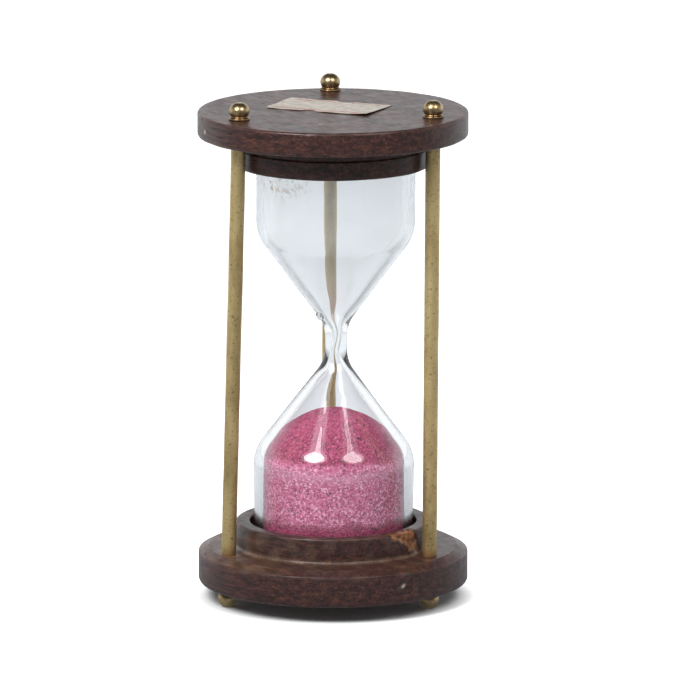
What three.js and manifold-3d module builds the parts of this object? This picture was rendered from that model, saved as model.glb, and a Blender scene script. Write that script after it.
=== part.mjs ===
// A three-rod hourglass: two turned wooden end plates, three brass rods held by ball nuts, and a
// blown glass vial of sand standing loose in a recess in each plate.
// Millimetres, +Z up. The origin is under the centre of the base plate, on the surface that the
// feet stand on. The front of the hourglass faces -Y.
import * as THREE from "three";
import { mergeVertices } from "three/addons/utils/BufferGeometryUtils.js";
import Module from "manifold-3d";

const wasm = await Module();
wasm.setup();

// ---------------------------------------------------------------- driving dimensions

// End plates. Each is one piece of turned wood: a disc, a raised collar and a recess inside it.
const plateRadius = 37.5;
const collarWall = 3.9;
const recessDepth = 8.5;
const basePlate = { disc: 10.1, collar: 7.1, edge: 1.0, bevelRun: 3.0, bevelRise: 1.5, groove: 0 };
const topPlate = { disc: 6.85, collar: 8.25, edge: 0.5, bevelRun: 0.5, bevelRise: 0.5, groove: 0.5 };
const grooveFromDisc = 2.9;
const collarRimRounding = 0.5;

// Clear height between the two discs, which the rods span.
const rodSpan = 115.75;

// Rods. Each leans a little, because its two holes were drilled by hand: a hole's place in a plate
// is a distance in from the plate's edge and an angle from +X towards +Y.
const rodRadius = 2.05;
const rodHoles = {
  front_left: { base: { inset: 5.2, angle: 205.3 }, top: { inset: 7.7, angle: 210.3 } },
  front_right: { base: { inset: 6.6, angle: 329.7 }, top: { inset: 7.6, angle: 337.4 } },
  back: { base: { inset: 4.5, angle: 92.3 }, top: { inset: 4.4, angle: 91.4 } },
};
const threadRadius = 1.25;
const threadEngagement = 2.3;
const threadTipChamfer = 0.3;
const seatDepth = 1.2;

// Ball nuts and their washers: finials on the top plate, feet under the base plate.
const ballRadius = 2.8;
const ballHalfHeight = 2.5;
const ballCentreAboveSeat = 1.75;
const nutNeckRadius = 2.1;
const ballFlatRadius = 1.0;
const washerRadius = 2.95;
const washerThickness = 0.6;

// Glass vial: two equal bulbs, each a cylinder, a rounded shoulder and a cone down to the neck.
// It stands a little off centre and leans a little towards +X, as far as its recesses let it.
// The cone's sides, carried on to the axis, would meet at its apex just above the neck.
const vialRadius = 22.1;
const glassWall = 2.2;
const coneHalfAngle = THREE.MathUtils.degToRad(36.5);
const shoulderRounding = 12;
const neckRadius = 3.1;
const neckRounding = 10;
const neckBoreRadius = 0.9;
const coneApexAboveNeck = 0.734;
const vialEndRounding = 3;
const vialOffCentre = 0.5;
const vialLean = 0.42;

// The vial is filled through a small hole above the neck, closed with a drop of melted glass.
const fillHoleRadius = 1.1;
const fillHoleAboveNeck = 8.4;
const fillHoleAngle = 226;
const sealDropRadius = 1.5;
const sealDropHeight = 1.4;

// Sand, felt pads under and over the vial, and the paper label on the top plate.
const sandApexAboveBulbEnd = 39.0;
const sandHeapRounding = 12.4;
const sandHeapSlope = 0.63;
const padThickness = 0.8;
const label = { length: 30.3, width: 17.5, thickness: 0.25, x: -1.1, y: 5.5, turn: -24 };
const labelTears = {
  front: { along: 0.3, radius: 2.2, depth: 1.0 },
  back: { along: -0.2, radius: 3.2, depth: 0.5 },
};

// Clearances.
const recessClearance = 1.1;
const threadClearance = 0.25;
const holeClearance = 0.4;
const seatClearance = 0.3;
const sandClearance = 0.3;
const vialEndPlay = 0.45;
const padClearance = 0.6;
const dropClearance = 0.3;

// Facets round each kind of turned piece, and in each rounded corner.
const plateFacets = 64;
const vialFacets = 36;
const smallFacets = 16;
const cornerSteps = 3;

// ---------------------------------------------------------------- sizes worked out from them

const recessRadius = vialRadius + recessClearance;
const collarRadius = recessRadius + collarWall;
const coneCornerAboveNeck = coneApexAboveNeck + vialRadius / Math.tan(coneHalfAngle);
const nutHeight =
  ballCentreAboveSeat + ballHalfHeight * Math.sqrt(1 - (ballFlatRadius / ballRadius) ** 2);
const baseOuterZ = nutHeight + washerThickness;
const baseInnerZ = baseOuterZ + basePlate.disc;
const topInnerZ = baseInnerZ + rodSpan;
const topOuterZ = topInnerZ + topPlate.disc;
const baseRecessZ = baseInnerZ + basePlate.collar - recessDepth;
const topRecessZ = topInnerZ - topPlate.collar + recessDepth;
const vialBottomZ = baseRecessZ + padThickness + vialEndPlay;
const vialTopZ = topRecessZ - padThickness - vialEndPlay;
const neckZ = (vialBottomZ + vialTopZ) / 2;
const halfVial = (vialTopZ - vialBottomZ) / 2;

// ---------------------------------------------------------------- geometry helpers

const v2 = (r, z) => new THREE.Vector2(r, z);

// Points on a circular arc in the (radius, height) plane, from one angle to another.
function arc(centreR, centreZ, radius, fromDegrees, toDegrees, steps = cornerSteps) {
  const points = [];
  for (let i = 0; i <= steps; i++) {
    const a = THREE.MathUtils.degToRad(fromDegrees + ((toDegrees - fromDegrees) * i) / steps);
    points.push(v2(centreR + radius * Math.cos(a), centreZ + radius * Math.sin(a)));
  }
  return points;
}

// A profile of (radius, height) points turned about Z. It runs with the material on its left.
function turned(profile, facets) {
  return new THREE.LatheGeometry(profile, facets).rotateX(Math.PI / 2);
}

// The same profile upside down, still with the material on its left.
function flipped(profile) {
  return profile.map((p) => v2(p.x, -p.y)).reverse();
}

function raised(profile, height) {
  return profile.map((p) => v2(p.x, p.y + height));
}

// A closed geometry as a manifold-3d solid: vertices merged, collapsed triangles dropped.
function toSolid(geometry) {
  const bare = new THREE.BufferGeometry();
  bare.setAttribute("position", geometry.getAttribute("position"));
  bare.setIndex(geometry.index);
  const merged = mergeVertices(bare, 1e-3);
  const index = merged.index.array;
  const triangles = [];
  for (let i = 0; i < index.length; i += 3) {
    const [a, b, c] = index.slice(i, i + 3);
    if (a !== b && b !== c && c !== a) triangles.push(a, b, c);
  }
  const mesh = new wasm.Mesh({
    numProp: 3,
    vertProperties: merged.attributes.position.array,
    triVerts: new Uint32Array(triangles),
  });
  return new wasm.Manifold(mesh);
}

function toGeometry(solid) {
  const mesh = solid.getMesh();
  const geometry = new THREE.BufferGeometry();
  geometry.setAttribute("position", new THREE.BufferAttribute(mesh.vertProperties, 3));
  geometry.setIndex(new THREE.BufferAttribute(mesh.triVerts, 1));
  geometry.computeVertexNormals();
  return geometry;
}

function cut(geometry, cutters) {
  return toGeometry(cutters.reduce((s, cutter) => s.subtract(toSolid(cutter)), toSolid(geometry)));
}

// ---------------------------------------------------------------- rod lines

function holePoint({ inset, angle }, z) {
  const a = THREE.MathUtils.degToRad(angle);
  const out = plateRadius - inset;
  return new THREE.Vector3(out * Math.cos(a), out * Math.sin(a), z);
}

// A rod's axis: a frame whose Z runs from its hole in the base plate to its hole in the top plate.
function rodLine(holes) {
  const foot = holePoint(holes.base, baseOuterZ);
  const head = holePoint(holes.top, topOuterZ);
  const direction = head.clone().sub(foot).normalize();
  const turn = new THREE.Quaternion().setFromUnitVectors(new THREE.Vector3(0, 0, 1), direction);
  // Distance along the rod at which it reaches a level.
  const along = (z) => (z - baseOuterZ) / direction.z;
  const at = (z) => foot.clone().addScaledVector(direction, along(z));
  const place = (geometry) =>
    geometry.applyMatrix4(new THREE.Matrix4().compose(foot, turn, new THREE.Vector3(1, 1, 1)));
  return { foot, turn, along, at, place };
}

const rodLines = Object.fromEntries(
  Object.entries(rodHoles).map(([name, holes]) => [name, rodLine(holes)]),
);

// A cylinder along a rod's line between two levels, given in either order.
function cylinderOnLine(line, radius, oneZ, otherZ) {
  const from = line.along(Math.min(oneZ, otherZ));
  const to = line.along(Math.max(oneZ, otherZ));
  const profile = [v2(0, from), v2(radius, from), v2(radius, to), v2(0, to)];
  return line.place(turned(profile, smallFacets));
}

// ---------------------------------------------------------------- end plates

// Profile of a plate with its height measured from its outer face towards the vial.
function plateProfile({ disc, collar, edge, bevelRun, bevelRise, groove }) {
  const total = disc + collar;
  const scribed = groove
    ? [
        v2(collarRadius, disc + grooveFromDisc - groove / 2),
        v2(collarRadius - groove, disc + grooveFromDisc),
        v2(collarRadius, disc + grooveFromDisc + groove / 2),
      ]
    : [];
  return [
    v2(0, 0),
    ...arc(plateRadius - edge, edge, edge, -90, 0),
    v2(plateRadius, disc - bevelRise),
    v2(plateRadius - bevelRun, disc),
    v2(collarRadius, disc),
    ...scribed,
    ...arc(collarRadius - collarRimRounding, total - collarRimRounding, collarRimRounding, 0, 90, 2),
    v2(recessRadius, total),
    v2(recessRadius, total - recessDepth),
    v2(0, total - recessDepth),
  ];
}

// Each rod has a through hole for its thread, and a seat for its full diameter. A hole drilled
// close to the collar also bites into the collar's wall.
function drilled(plate, innerZ, throughZ, openZ) {
  const seatZ = innerZ + Math.sign(throughZ - innerZ) * seatDepth;
  const cutters = Object.values(rodLines).flatMap((line) => [
    cylinderOnLine(line, threadRadius + holeClearance, throughZ, openZ),
    cylinderOnLine(line, rodRadius + seatClearance, seatZ, openZ),
  ]);
  return cut(plate, cutters);
}

function basePlateShape() {
  const profile = raised(plateProfile(basePlate), baseOuterZ);
  const openZ = baseInnerZ + basePlate.collar + 1;
  return drilled(turned(profile, plateFacets), baseInnerZ, baseOuterZ - 1, openZ);
}

function topPlateShape() {
  const profile = raised(flipped(plateProfile(topPlate)), topOuterZ);
  const openZ = topInnerZ - topPlate.collar - 1;
  return drilled(turned(profile, plateFacets), topInnerZ, topOuterZ + 1, openZ);
}

// ---------------------------------------------------------------- rods, nuts and washers

// A rod in its line's frame: full diameter between the seats, threaded ends beyond them.
function rodShape(line) {
  const reach = washerThickness + threadEngagement;
  const low = line.along(baseOuterZ - reach);
  const seatLow = line.along(baseInnerZ - seatDepth + seatClearance);
  const seatHigh = line.along(topInnerZ + seatDepth - seatClearance);
  const high = line.along(topOuterZ + reach);
  const profile = [
    v2(0, low),
    v2(threadRadius - threadTipChamfer, low),
    v2(threadRadius, low + threadTipChamfer),
    v2(threadRadius, seatLow),
    v2(rodRadius, seatLow),
    v2(rodRadius, seatHigh),
    v2(threadRadius, seatHigh),
    v2(threadRadius, high - threadTipChamfer),
    v2(threadRadius - threadTipChamfer, high),
    v2(0, high),
  ];
  return turned(profile, smallFacets);
}

// A ball nut standing on its seat: a blind threaded bore, a short neck and a slightly flattened
// ball with a small flat at its pole.
function ballNutShape() {
  const bore = threadRadius + threadClearance;
  const boreDepth = threadEngagement + threadClearance;
  const onBall = (r, side) =>
    v2(r, ballCentreAboveSeat + side * ballHalfHeight * Math.sqrt(1 - (r / ballRadius) ** 2));
  const fromAngle = Math.acos(nutNeckRadius / ballRadius);
  const toAngle = Math.acos(ballFlatRadius / ballRadius);
  const steps = 6;
  const ball = [];
  for (let i = 0; i <= steps; i++) {
    const a = -fromAngle + ((toAngle + fromAngle) * i) / steps;
    ball.push(onBall(ballRadius * Math.cos(a), Math.sign(a)));
  }
  const profile = [
    v2(0, boreDepth),
    v2(bore, boreDepth),
    v2(bore, 0),
    v2(nutNeckRadius, 0),
    ...ball,
    v2(0, nutHeight),
  ];
  return turned(profile, smallFacets);
}

function washerShape() {
  const hole = threadRadius + holeClearance;
  const profile = [
    v2(hole, 0),
    v2(washerRadius, 0),
    v2(washerRadius, washerThickness),
    v2(hole, washerThickness),
    v2(hole, 0),
  ];
  return turned(profile, smallFacets);
}

// ---------------------------------------------------------------- glass vial and what it holds

// Profile of one bulb from the neck's middle out to the end, as heights above the neck. The
// cylinder, shoulder, cone and neck are straight lines joined by two tangent arcs, and a wall
// moves every one of them inwards by its thickness.
function bulbProfile(wall) {
  const turnDegrees = THREE.MathUtils.radToDeg(coneHalfAngle);
  const tan = Math.tan(coneHalfAngle);
  const tangent = Math.tan(coneHalfAngle / 2);
  const cylinder = vialRadius - wall;
  const neck = wall ? neckBoreRadius : neckRadius;
  // The cone's line: its radius at a height, measured through the corner it makes with the
  // outer cylinder and moved inwards by the wall.
  const cornerZ = coneCornerAboveNeck + (wall ? wall / Math.cos(coneHalfAngle) - wall : 0) / tan;
  const coneAtZ = (r) => cornerZ - (cylinder - r) / tan;
  const shoulder = shoulderRounding - wall;
  const neckArc = neckRounding + wall;
  const shoulderZ = cornerZ + shoulder * tangent;
  const neckArcZ = coneAtZ(neck) - neckArc * tangent;
  const end = halfVial - wall;
  const endRounding = vialEndRounding - wall * 0.5;
  return [
    ...arc(neck + neckArc, neckArcZ, neckArc, 180, 180 - turnDegrees),
    ...arc(cylinder - shoulder, shoulderZ, shoulder, -turnDegrees, 0),
    ...arc(cylinder - endRounding, end - endRounding, endRounding, 0, 90),
    v2(0, end),
  ];
}

function wholeVial(wall) {
  const upper = bulbProfile(wall);
  return turned([...flipped(upper), ...upper], vialFacets);
}

// The fill hole's axis: square to the cone's surface, pointing out of the glass and down.
function fillHoleFrame() {
  const around = THREE.MathUtils.degToRad(fillHoleAngle);
  const outward = new THREE.Vector3(
    Math.cos(around) * Math.cos(coneHalfAngle),
    Math.sin(around) * Math.cos(coneHalfAngle),
    -Math.sin(coneHalfAngle),
  );
  const coneRadius = (fillHoleAboveNeck - coneApexAboveNeck) * Math.tan(coneHalfAngle);
  const mouth = new THREE.Vector3(
    coneRadius * Math.cos(around),
    coneRadius * Math.sin(around),
    fillHoleAboveNeck,
  );
  const turn = new THREE.Quaternion().setFromUnitVectors(new THREE.Vector3(0, 0, 1), outward);
  return { mouth, turn };
}

const fillHole = fillHoleFrame();

function glassVialShape() {
  const reach = glassWall * 1.5;
  const profile = [
    v2(0, -reach),
    v2(fillHoleRadius, -reach),
    v2(fillHoleRadius, reach),
    v2(0, reach),
  ];
  const hole = turned(profile, smallFacets).applyMatrix4(
    new THREE.Matrix4().compose(fillHole.mouth, fillHole.turn, new THREE.Vector3(1, 1, 1)),
  );
  return cut(wholeVial(0), [wholeVial(glassWall), hole]);
}

// A drop of glass with a short stem down the fill hole.
function sealDropShape() {
  const stem = fillHoleRadius - dropClearance;
  const profile = [
    v2(0, -glassWall / 2),
    v2(stem, -glassWall / 2),
    v2(stem, dropClearance),
    ...arc(0, dropClearance, sealDropRadius, 0, 90, 5).map((p) =>
      v2(p.x, dropClearance + ((p.y - dropClearance) * sealDropHeight) / sealDropRadius),
    ),
  ];
  return turned(profile, smallFacets);
}

// The sand fills the lower bulb to its shoulder and ends in a heap: a rounded top on a slope.
function sandShape() {
  const bulb = flipped(bulbProfile(glassWall + sandClearance));
  const floor = bulb[0].y;
  const apex = floor + sandApexAboveBulbEnd - vialEndRounding;
  const curve = sandHeapSlope / (2 * sandHeapRounding);
  const heapDrop = (r) =>
    r < sandHeapRounding
      ? curve * r * r
      : curve * sandHeapRounding ** 2 + sandHeapSlope * (r - sandHeapRounding);
  const steps = 7;
  const widest = vialRadius;
  const heap = [];
  for (let i = 0; i <= steps; i++) {
    const r = (widest * (steps - i)) / steps;
    heap.push(v2(r, apex - heapDrop(r)));
  }
  const under = floor - 1;
  const heaped = turned([v2(0, under), v2(widest, under), ...heap], vialFacets);
  const inside = turned([...bulb, v2(0, bulb.at(-1).y)], vialFacets);
  return toGeometry(toSolid(inside).intersect(toSolid(heaped)));
}

function padShape() {
  const radius = recessRadius - padClearance;
  const profile = [v2(0, 0), v2(radius, 0), v2(radius, padThickness), v2(0, padThickness)];
  return turned(profile, vialFacets);
}

// A thin rectangle of paper with a shallow round tear in each long edge. The outline runs
// anticlockwise, and each tear is an arc that bites into the paper.
function labelShape() {
  const halfLength = label.length / 2;
  const halfWidth = label.width / 2;
  const outline = new THREE.Shape();
  const tearInto = ({ along, radius, depth }, side) => {
    const reach = Math.acos((radius - depth) / radius);
    const middle = (-side * Math.PI) / 2;
    const centreY = side * (halfWidth + radius - depth);
    outline.absarc(along, centreY, radius, middle + reach, middle - reach, true);
  };
  outline.moveTo(halfLength, -halfWidth);
  outline.lineTo(halfLength, halfWidth);
  tearInto(labelTears.back, 1);
  outline.lineTo(-halfLength, halfWidth);
  outline.lineTo(-halfLength, -halfWidth);
  tearInto(labelTears.front, -1);
  const settings = { depth: label.thickness, bevelEnabled: false, curveSegments: 6 };
  return new THREE.ExtrudeGeometry(outline, settings);
}

// ---------------------------------------------------------------- materials

function material(color, roughness, metalness = 0) {
  return new THREE.MeshStandardMaterial({ color, roughness, metalness });
}

const wood = material(0x4b2c25, 0.55);
const agedBrass = material(0xa68f55, 0.4, 1);
const polishedBrass = material(0xb08f4e, 0.22, 1);
const sandPink = material(0xb9527a, 0.95);
const paper = material(0xcdbd9c, 0.9);
const felt = material(0x5a3b30, 1);
const glass = material(0xdfe8ec, 0.05);
glass.transparent = true;
glass.opacity = 0.35;

// ---------------------------------------------------------------- assembly

const hourglass = new THREE.Group();

function add(name, geometry, surface, parent = hourglass) {
  const mesh = new THREE.Mesh(geometry, surface);
  mesh.name = name;
  parent.add(mesh);
  return mesh;
}

add("base_plate", basePlateShape(), wood);
add("top_plate", topPlateShape(), wood);

for (const [side, line] of Object.entries(rodLines)) {
  const rod = add(`rod_${side}`, rodShape(line), agedBrass);
  rod.position.copy(line.foot);
  rod.quaternion.copy(line.turn);

  // A nut and its washer stand square on the plate, centred on the thread where the nut grips it.
  const grip = washerThickness + threadEngagement / 2;
  const crown = new THREE.Group();
  crown.position.copy(line.at(topOuterZ + grip)).setZ(topOuterZ);
  hourglass.add(crown);
  add(`finial_washer_${side}`, washerShape(), polishedBrass, crown);
  add(`finial_${side}`, ballNutShape(), polishedBrass, crown).position.z = washerThickness;

  const foot = new THREE.Group();
  foot.position.copy(line.at(baseOuterZ - grip)).setZ(baseOuterZ);
  foot.rotation.x = Math.PI;
  hourglass.add(foot);
  add(`foot_washer_${side}`, washerShape(), polishedBrass, foot);
  add(`foot_${side}`, ballNutShape(), polishedBrass, foot).position.z = washerThickness;
}

// The vial's frame has its origin in the middle of the neck and Z along the glass.
const vial = new THREE.Group();
vial.position.set(vialOffCentre, 0, neckZ);
vial.rotation.y = THREE.MathUtils.degToRad(vialLean);
hourglass.add(vial);
add("glass_vial", glassVialShape(), glass, vial);
add("sand", sandShape(), sandPink, vial);
const drop = add("seal_drop", sealDropShape(), glass, vial);
drop.position.copy(fillHole.mouth);
drop.quaternion.copy(fillHole.turn);

add("felt_pad_base", padShape(), felt).position.z = baseRecessZ;
add("felt_pad_top", padShape(), felt).position.z = topRecessZ - padThickness;

const sheet = add("paper_label", labelShape(), paper);
sheet.position.set(label.x, label.y, topOuterZ);
sheet.rotation.z = THREE.MathUtils.degToRad(label.turn);

export default hourglass;
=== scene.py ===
# %% [markdown]
# # A three-rod hourglass, finished in Blender
#
# The real object is two turned discs of dark rosewood, three brass rods with ball nuts on their
# ends, and a blown glass vial of pink sand that stands loose between the discs. The CAD model
# already holds every piece at its true size and place. This lesson gives each of them the fine
# surface and the finish that the eye expects, and moves nothing.

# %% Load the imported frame
import math

import bpy
import numpy as np
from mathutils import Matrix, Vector


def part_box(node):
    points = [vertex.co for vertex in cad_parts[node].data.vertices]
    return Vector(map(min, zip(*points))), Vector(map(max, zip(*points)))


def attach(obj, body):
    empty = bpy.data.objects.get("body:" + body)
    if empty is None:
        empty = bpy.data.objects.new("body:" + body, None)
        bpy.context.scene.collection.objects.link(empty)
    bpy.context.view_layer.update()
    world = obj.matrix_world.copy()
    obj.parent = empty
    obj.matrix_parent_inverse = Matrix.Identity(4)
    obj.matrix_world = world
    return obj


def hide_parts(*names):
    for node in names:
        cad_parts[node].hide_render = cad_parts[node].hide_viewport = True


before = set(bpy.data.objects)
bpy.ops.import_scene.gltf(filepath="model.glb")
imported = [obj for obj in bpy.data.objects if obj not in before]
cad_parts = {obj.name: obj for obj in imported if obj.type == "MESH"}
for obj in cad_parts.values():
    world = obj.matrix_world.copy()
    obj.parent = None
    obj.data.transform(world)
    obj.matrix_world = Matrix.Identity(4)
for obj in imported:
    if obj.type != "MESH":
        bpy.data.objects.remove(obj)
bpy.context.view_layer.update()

MM = 0.001

# %% [markdown]
# ## Camera
#
# The hourglass is seen from a little above and from far away, through a long lens. A long lens
# keeps the rods almost parallel, which a near camera would not. The camera looks at a point just
# right of the neck.

# %% Camera
ELEVATION = math.radians(11.24)
DISTANCE = 2.70
aim = np.array([4.72, 0.0, 69.85]) * MM

scene = bpy.context.scene
lens = bpy.data.cameras.new("studio_camera")
lens.sensor_width = 36
lens.lens = 500
camera = bpy.data.objects.new("studio_camera", lens)
scene.collection.objects.link(camera)
camera.location = aim + DISTANCE * np.array([0, -math.cos(ELEVATION), math.sin(ELEVATION)])
camera.rotation_euler = (math.pi / 2 - ELEVATION, 0, 0)
scene.camera = camera
print("camera at", [round(v, 3) for v in camera.location])

# %% [markdown]
# ## How a surface becomes a mesh
#
# Nearly every piece was turned on a lathe or blown round an axis, so one idea builds them all: a
# grid of points whose rows follow a profile and whose columns go round. A subdivided primitive
# could be sculpted to the same shape, but a grid keeps the maker's dimensions exact.

# %% A grid of points made into a mesh object
def skin(name, grid, looped=False):
    """Joins a grid of points (rows, columns, 3), in millimetres, into one mesh in metres.

    Columns always close on themselves. Rows close on themselves where looped is true, and
    otherwise a first or last row that has shrunk to one point becomes a pole.
    """
    rows, columns = grid.shape[:2]
    number = np.arange(rows * columns).reshape(rows, columns)
    if looped:
        number = np.vstack([number, number[:1]])
    a = number[:-1]
    b = np.roll(a, -1, axis=1)
    d = number[1:]
    c = np.roll(d, -1, axis=1)
    quads = np.stack([a, b, c, d], axis=2)
    spread = np.ptp(grid, axis=1).max(axis=1)
    first_pole = not looped and spread[0] < 1e-6
    last_pole = not looped and spread[-1] < 1e-6
    faces = quads[1 if first_pole else 0 : -1 if last_pole else None].reshape(-1, 4).tolist()
    if first_pole:
        faces += np.stack([a[0] * 0 + number[0, 0], c[0], d[0]], axis=1).tolist()
    if last_pole:
        faces += np.stack([a[-1], b[-1], a[-1] * 0 + number[-1, 0]], axis=1).tolist()
    points = grid.reshape(-1, 3) * MM
    used = np.unique(np.concatenate([np.ravel(f) for f in (quads[1:-1], *faces)]))
    renumber = np.zeros(len(points), int)
    renumber[used] = np.arange(len(used))
    mesh = bpy.data.meshes.new(name)
    mesh.from_pydata(points[used].tolist(), [], [renumber[f].tolist() for f in faces])
    mesh.polygons.foreach_set("use_smooth", np.ones(len(mesh.polygons), bool))
    mesh.update()
    piece = bpy.data.objects.new(name, mesh)
    scene.collection.objects.link(piece)
    return piece


# %% [markdown]
# A profile is a list of corners. A cutter or a hand with sandpaper never leaves a corner sharp,
# so each corner carries its own rounding. Long runs get extra points in between, close together
# where small relief must show and far apart where nothing does.

# %% Profiles with rounded corners
def rounded(corners, spacing=1.0, arc_steps=5, closed=False):
    """A path of (radius, height) points through corners (radius, height, rounding, run spacing).

    A corner of half angle h and rounding q becomes an arc that starts q / tan(h) before it and
    ends as far after it. The run after a corner is cut into pieces of its own spacing.
    """
    pieces = []
    for i, (r, z, rounding, *_) in enumerate(corners):
        corner = np.array([r, z], float)
        if not rounding:
            pieces.append(corner[None])
            continue
        back = np.array(corners[i - 1][:2], float) - corner
        ahead = np.array(corners[(i + 1) % len(corners)][:2], float) - corner
        back_length, ahead_length = np.linalg.norm(back), np.linalg.norm(ahead)
        back, ahead = back / back_length, ahead / ahead_length
        half = math.acos(np.clip(back @ ahead, -1, 1)) / 2
        reach = min(rounding / math.tan(half), 0.48 * back_length, 0.48 * ahead_length)
        radius = reach * math.tan(half)
        middle = (back + ahead) / np.linalg.norm(back + ahead) * radius / math.sin(half)
        share = np.linspace(0, 1, arc_steps + 1)[:, None]
        swing = math.pi - 2 * half
        start, end = back * reach - middle, ahead * reach - middle
        arc = np.sin((1 - share) * swing) * start + np.sin(share * swing) * end
        pieces.append(corner + middle + arc / math.sin(swing))
    path = []
    for (_, _, _, *run), before, after in zip(corners, pieces, pieces[1:] + pieces[:1]):
        gap = np.linalg.norm(after[0] - before[-1])
        steps = max(1, round(gap / (run[0] if run else spacing)))
        share = np.linspace(0, 1, steps + 1)[1:-1, None]
        path += [before, before[-1] + (after[0] - before[-1]) * share]
    return np.vstack(path if closed else path[:-1])


# %% Turning a profile about its axis
def turned_grid(profile, columns):
    """Grid of (radius cos a, radius sin a, height) for each profile point and each angle a."""
    angle = np.arange(columns) * 2 * math.pi / columns
    radius, height = profile[:, :1], profile[:, 1:]
    return np.stack(
        [radius * np.cos(angle), radius * np.sin(angle), height + 0 * angle], axis=2
    )


def ripple(points, size, seed, waves=20):
    """Smooth waviness, mostly between -1 and 1, from waves of one size in seeded directions.

    It is the sum of the waves over the square root of their number.
    """
    chance = np.random.default_rng(seed)
    directions = chance.normal(size=(3, waves))
    directions *= 2 * math.pi / size / np.linalg.norm(directions, axis=0)
    phases = chance.uniform(0, 2 * math.pi, waves)
    return np.sin(points @ directions + phases).sum(axis=-1) / math.sqrt(waves)


def pushed_out(grid, amount):
    """Moves each point of a turned grid along its surface's normal, by an amount per point.

    The normal is the cross product of the direction round the axis and the one along the profile.
    """
    around = np.roll(grid, -1, axis=1) - np.roll(grid, 1, axis=1)
    along = np.gradient(grid, axis=0)
    normal = np.cross(around, along)
    length = np.linalg.norm(normal, axis=2, keepdims=True)
    return grid + normal / np.maximum(length, 1e-9) * (length > 1e-9) * amount[..., None]


def finish_with(piece, body, slot, material, *nodes):
    """Puts a material on a piece, hangs it under its body and hides the nodes it stands for. The
    slot is not used.
    """
    piece.data.materials.append(material)
    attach(piece, body)
    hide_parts(*nodes)
    print(f"{piece.name}: {len(piece.data.polygons)} faces")
    return piece


# %% [markdown]
# ## Finishes
#
# Every finish is a Principled shader fed by patterns. The patterns read Object coordinates, in
# metres, so a pattern's scale is one over the size of its features: 1000 for a millimetre.

# %% A small kit for building finishes
class Finish:
    """A material with one Principled shader, and short ways to add the nodes that feed it."""

    def __init__(self, name, **plain):
        self.material = bpy.data.materials.new(name)
        self.material.use_nodes = True
        self.tree = self.material.node_tree
        self.shader = self.tree.nodes["Principled BSDF"]
        self.place = self.add("ShaderNodeTexCoord").outputs["Object"]
        for socket, value in plain.items():
            self.shader.inputs[socket.replace("_", " ")].default_value = value

    def add(self, kind, sockets=None, **settings):
        """A node with its settings, and its sockets linked or given their values."""
        node = self.tree.nodes.new(kind)
        for key, value in settings.items():
            setattr(node, key, value)
        for key, value in (sockets or {}).items():
            if isinstance(value, bpy.types.NodeSocket):
                self.tree.links.new(value, node.inputs[key])
            else:
                node.inputs[key].default_value = value
        return node

    def feed(self, socket, source):
        self.tree.links.new(source, self.shader.inputs[socket])

    def mapped(self, turn=(0, 0, 0), scale=(1, 1, 1), vector=None):
        """Coordinates turned, in degrees, and then stretched."""
        turned = self.add(
            "ShaderNodeMapping",
            {"Vector": vector or self.place, "Rotation": [math.radians(t) for t in turn]},
        )
        return self.add(
            "ShaderNodeMapping", {"Vector": turned.outputs[0], "Scale": scale}
        ).outputs[0]

    def noise(self, scale, detail=2.0, roughness=0.5, vector=None, distortion=0.0):
        return self.add(
            "ShaderNodeTexNoise",
            {
                "Vector": vector or self.place,
                "Scale": scale,
                "Detail": detail,
                "Roughness": roughness,
                "Distortion": distortion,
            },
        ).outputs["Fac"]

    def cells(self, scale, vector=None, output="Distance"):
        return self.add(
            "ShaderNodeTexVoronoi", {"Vector": vector or self.place, "Scale": scale}
        ).outputs[output]

    def ramp(self, source, *stops):
        """Colours or greys at stops between 0 and 1."""
        node = self.add("ShaderNodeValToRGB", {"Fac": source})
        elements = node.color_ramp.elements
        while len(elements) < len(stops):
            elements.new(0.5)
        for element, (position, colour) in zip(elements, stops):
            element.position = position
            grey = isinstance(colour, (int, float))
            element.color = (*([colour] * 3 if grey else colour), 1)
        return node.outputs["Color"]

    def blend(self, share, first, second, how="MIX"):
        """Mixes two colours by a share from 0 to 1."""
        node = self.add("ShaderNodeMix", data_type="RGBA", blend_type=how)
        sockets = (node.inputs[0], node.inputs[6], node.inputs[7])
        for socket, value in zip(sockets, (share, first, second)):
            if isinstance(value, bpy.types.NodeSocket):
                self.tree.links.new(value, socket)
            elif socket.type == "RGBA":
                socket.default_value = (*value, 1)
            else:
                socket.default_value = value
        return node.outputs[2]

    def sum(self, how, first, second):
        node = self.add("ShaderNodeMath", operation=how)
        for socket, value in zip(node.inputs, (first, second)):
            if isinstance(value, bpy.types.NodeSocket):
                self.tree.links.new(value, socket)
            else:
                socket.default_value = value
        return node.outputs[0]

    def own(self, attribute):
        """A value that the piece's own mesh holds for each point."""
        return self.add("ShaderNodeAttribute", attribute_name=attribute).outputs["Fac"]

    def relief(self, height, depth, strength=1.0, under=None):
        """A bump of a depth in millimetres, laid over another where one is given."""
        sockets = {"Height": height, "Distance": depth * MM, "Strength": strength}
        if under:
            sockets["Normal"] = under
        return self.add("ShaderNodeBump", sockets).outputs["Normal"]


# %% [markdown]
# ### Rosewood
#
# The discs were cut from dark Indian rosewood: a red-brown ground, darker figure drawn out along
# the grain, short pores as dark dashes, and rusty flecks in between. The grain lies across the
# discs, so the same solid pattern shows long streaks on a face, dashes on the walls that the
# grain runs beside, and dots where it ends. The old satin finish has gone dusty.

# %% Rosewood finish
GRAIN_TURN = 58.0


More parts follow.
